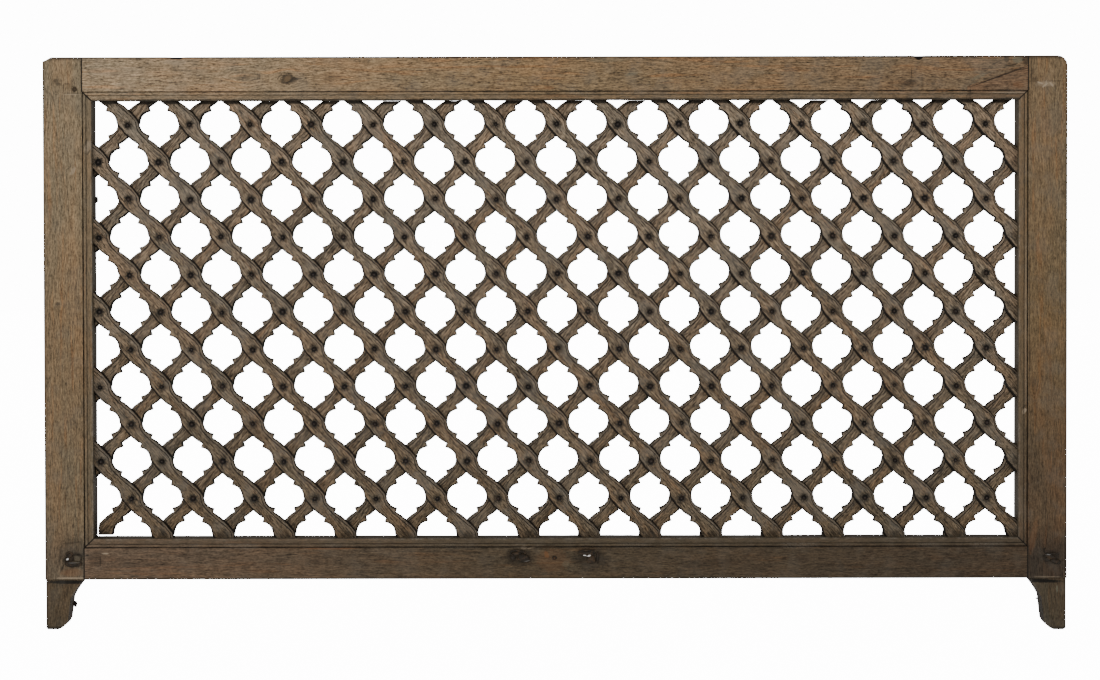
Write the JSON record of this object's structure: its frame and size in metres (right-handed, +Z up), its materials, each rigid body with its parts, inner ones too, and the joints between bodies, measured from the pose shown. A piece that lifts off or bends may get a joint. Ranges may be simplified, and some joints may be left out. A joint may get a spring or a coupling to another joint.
{
  "type": "carved teak window panel",
  "caption": "Rectangular window panel: a moulded frame on two bracket feet around a diagonal lattice of cusped, nailed slats, made to be fixed in an opening or on a wall.",
  "frame": {"origin": "middle of the top rail's back face, where the panel is fixed", "axes": "+X along the panel's width, to the right seen from the front; +Y out of its back, so the front faces -Y; +Z up"},
  "size_m": [1.536, 0.0578, 0.8633],
  "materials": {
    "teak_stile": "aged teak, dry and open-grained, dark dirt in the grain",
    "teak_top_rail": "aged teak, the lightest and most weathered member",
    "teak_bottom_rail": "aged teak, dark with handling and dirt",
    "teak_patch": "redder teak of a later mend",
    "teak_front_slat": "aged teak, grey-brown, worn carved edges",
    "teak_back_slat": "aged teak, slightly redder than the front layer",
    "blackened_iron": "hand-forged iron, blackened and worn bright on its high points"
  },
  "bodies": {
    "root": {"left_stile": "teak_stile", "right_stile": "teak_stile", "top_rail": "teak_top_rail", "bottom_rail": "teak_bottom_rail", "top_rail_patch": "teak_patch", "front_slat_left_12": "teak_front_slat", "front_slat_left_11": "teak_front_slat", "front_slat_left_10": "teak_front_slat", "front_slat_left_09": "teak_front_slat", "front_slat_left_08": "teak_front_slat", "front_slat_left_07": "teak_front_slat", "front_slat_left_06": "teak_front_slat", "front_slat_left_05": "teak_front_slat", "front_slat_left_04": "teak_front_slat", "front_slat_left_03": "teak_front_slat", "front_slat_left_02": "teak_front_slat", "front_slat_left_01": "teak_front_slat", "front_slat_middle": "teak_front_slat", "front_slat_right_01": "teak_front_slat", "front_slat_right_02": "teak_front_slat", "front_slat_right_03": "teak_front_slat", "front_slat_right_04": "teak_front_slat", "front_slat_right_05": "teak_front_slat", "front_slat_right_06": "teak_front_slat", "front_slat_right_07": "teak_front_slat", "back_slat_left_07": "teak_back_slat", "back_slat_left_06": "teak_back_slat", "back_slat_left_05": "teak_back_slat", "back_slat_left_04": "teak_back_slat", "back_slat_left_03": "teak_back_slat", "back_slat_left_02": "teak_back_slat", "back_slat_left_01": "teak_back_slat", "back_slat_middle": "teak_back_slat", "back_slat_right_01": "teak_back_slat", "back_slat_right_02": "teak_back_slat", "back_slat_right_03": "teak_back_slat", "back_slat_right_04": "teak_back_slat", "back_slat_right_05": "teak_back_slat", "back_slat_right_06": "teak_back_slat", "back_slat_right_07": "teak_back_slat", "back_slat_right_08": "teak_back_slat", "back_slat_right_09": "teak_back_slat", "back_slat_right_10": "teak_back_slat", "back_slat_right_11": "teak_back_slat", "back_slat_right_12": "teak_back_slat", "left_stile_cramp": "blackened_iron", "rail_cramp_left": "blackened_iron", "rail_cramp_right": "blackened_iron", "right_stile_cramp": "blackened_iron"}
  },
  "joints": []
}
